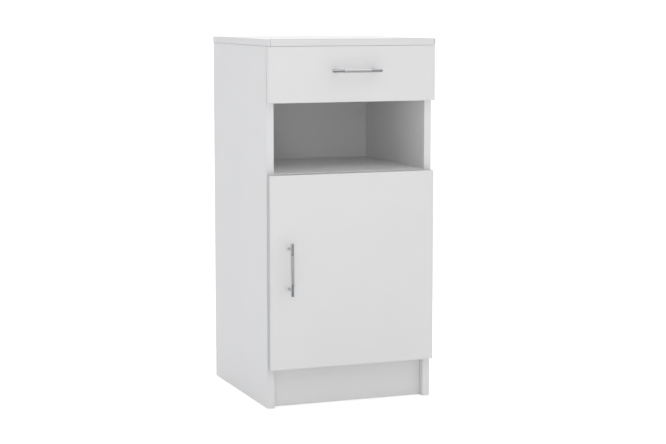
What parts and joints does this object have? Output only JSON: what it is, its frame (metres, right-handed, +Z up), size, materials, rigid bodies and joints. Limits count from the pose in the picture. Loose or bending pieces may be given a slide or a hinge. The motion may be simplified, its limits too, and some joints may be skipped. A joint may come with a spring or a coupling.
{
  "type": "bedside cabinet",
  "caption": "Board-built bedside cabinet with a drawer on roller runners, an open bay below it and a side-hung door over a shelved cupboard.",
  "frame": {"origin": "on the floor, at the middle of the whole object's footprint, handles included", "axes": "+Z up, -Y out of the front (drawer and door), +X to the right seen from the front"},
  "size_m": [0.422, 0.4662, 0.875],
  "materials": {
    "white_board": "white melamine-faced board with white edge bands, satin",
    "drawer_box_board": "off-white melamine-faced board, satin",
    "polished_chrome": "polished chrome plate",
    "satin_metal": "fine satin, brushed around the bar",
    "plated_steel": "nickel-plated pressed steel",
    "coated_steel": "white powder coat",
    "nylon": "natural moulded nylon",
    "clear_rubber": "translucent soft bumper"
  },
  "bodies": {
    "carcass": {"side_panel_left": "white_board", "side_panel_right": "white_board", "top_panel": "white_board", "drawer_divider": "white_board", "bay_shelf": "white_board", "base_panel": "white_board", "back_panel": "white_board", "plinth_board_front": "white_board", "plinth_board_rear": "white_board", "inner_shelf": "white_board", "shelf_pin_front_left": "plated_steel", "shelf_pin_rear_left": "plated_steel", "shelf_pin_front_right": "plated_steel", "shelf_pin_rear_right": "plated_steel", "cabinet_runner_left": "coated_steel", "cabinet_runner_right": "coated_steel", "hinge_plate_lower": "plated_steel", "hinge_plate_upper": "plated_steel", "hinge_arm_lower": "plated_steel", "hinge_arm_upper": "plated_steel"},
    "drawer": {"drawer_front": "white_board", "drawer_inner_front": "drawer_box_board", "drawer_side_left": "drawer_box_board", "drawer_side_right": "drawer_box_board", "drawer_back": "drawer_box_board", "drawer_bottom": "drawer_box_board", "drawer_runner_left": "coated_steel", "drawer_runner_right": "coated_steel", "drawer_bumper_left": "clear_rubber", "drawer_bumper_right": "clear_rubber", "drawer_handle_bar": "polished_chrome", "drawer_handle_sleeve": "satin_metal", "drawer_handle_post_a": "polished_chrome", "drawer_handle_post_b": "polished_chrome", "drawer_handle_screw_a": "plated_steel", "drawer_handle_screw_b": "plated_steel"},
    "door": {"door_panel": "white_board", "hinge_cup_lower": "plated_steel", "hinge_cup_upper": "plated_steel", "door_bumper_lower": "clear_rubber", "door_bumper_upper": "clear_rubber", "door_handle_bar": "polished_chrome", "door_handle_sleeve": "satin_metal", "door_handle_post_a": "polished_chrome", "door_handle_post_b": "polished_chrome", "door_handle_screw_a": "plated_steel", "door_handle_screw_b": "plated_steel"},
    "front_roller_left": {"front_roller_left": "nylon"},
    "front_roller_right": {"front_roller_right": "nylon"},
    "rear_roller_left": {"rear_roller_left": "nylon"},
    "rear_roller_right": {"rear_roller_right": "nylon"},
    "hinge_link_lower": {"hinge_link_lower": "plated_steel"},
    "hinge_link_upper": {"hinge_link_upper": "plated_steel"}
  },
  "joints": [
    {"name": "drawer_slide", "type": "slide", "parent": "carcass", "child": "drawer", "axis": [0, -1, 0], "range_m": [0, 0.26]},
    {"name": "door_hinge", "type": "hinge", "parent": "carcass", "child": "door", "pos_m": [0.20125, -0.19355, 0.32755], "axis": [0, 0, 1], "range_deg": [0, 105]},
    {"name": "hinge_link_lower_turn", "type": "hinge", "parent": "carcass", "child": "hinge_link_lower", "pos_m": [0.1815, -0.19055, 0.1866], "axis": [0, 0, 1], "range_deg": [-29.5, 0]},
    {"name": "hinge_link_upper_turn", "type": "hinge", "parent": "carcass", "child": "hinge_link_upper", "pos_m": [0.1815, -0.19055, 0.4685], "axis": [0, 0, 1], "range_deg": [-29.5, 0]},
    {"name": "front_roller_left_spin", "type": "hinge", "parent": "carcass", "child": "front_roller_left", "pos_m": [-0.18575, -0.16895, 0.765], "axis": [1, 0, 0], "range_deg": [0, 1870]},
    {"name": "front_roller_right_spin", "type": "hinge", "parent": "carcass", "child": "front_roller_right", "pos_m": [0.18575, -0.16895, 0.765], "axis": [1, 0, 0], "range_deg": [0, 1870]},
    {"name": "rear_roller_left_spin", "type": "hinge", "parent": "drawer", "child": "rear_roller_left", "pos_m": [-0.18575, 0.15405, 0.765], "axis": [1, 0, 0], "range_deg": [0, 1870]},
    {"name": "rear_roller_right_spin", "type": "hinge", "parent": "drawer", "child": "rear_roller_right", "pos_m": [0.18575, 0.15405, 0.765], "axis": [1, 0, 0], "range_deg": [0, 1870]}
  ],
  "couplings": [
    {"joint": "hinge_link_lower_turn", "follows": "door_hinge", "ratio": -0.276},
    {"joint": "hinge_link_upper_turn", "follows": "door_hinge", "ratio": -0.276},
    {"joint": "front_roller_left_spin", "follows": "drawer_slide", "rad_per_m": 125},
    {"joint": "front_roller_right_spin", "follows": "drawer_slide", "rad_per_m": 125},
    {"joint": "rear_roller_left_spin", "follows": "drawer_slide", "rad_per_m": 125},
    {"joint": "rear_roller_right_spin", "follows": "drawer_slide", "rad_per_m": 125}
  ]
}
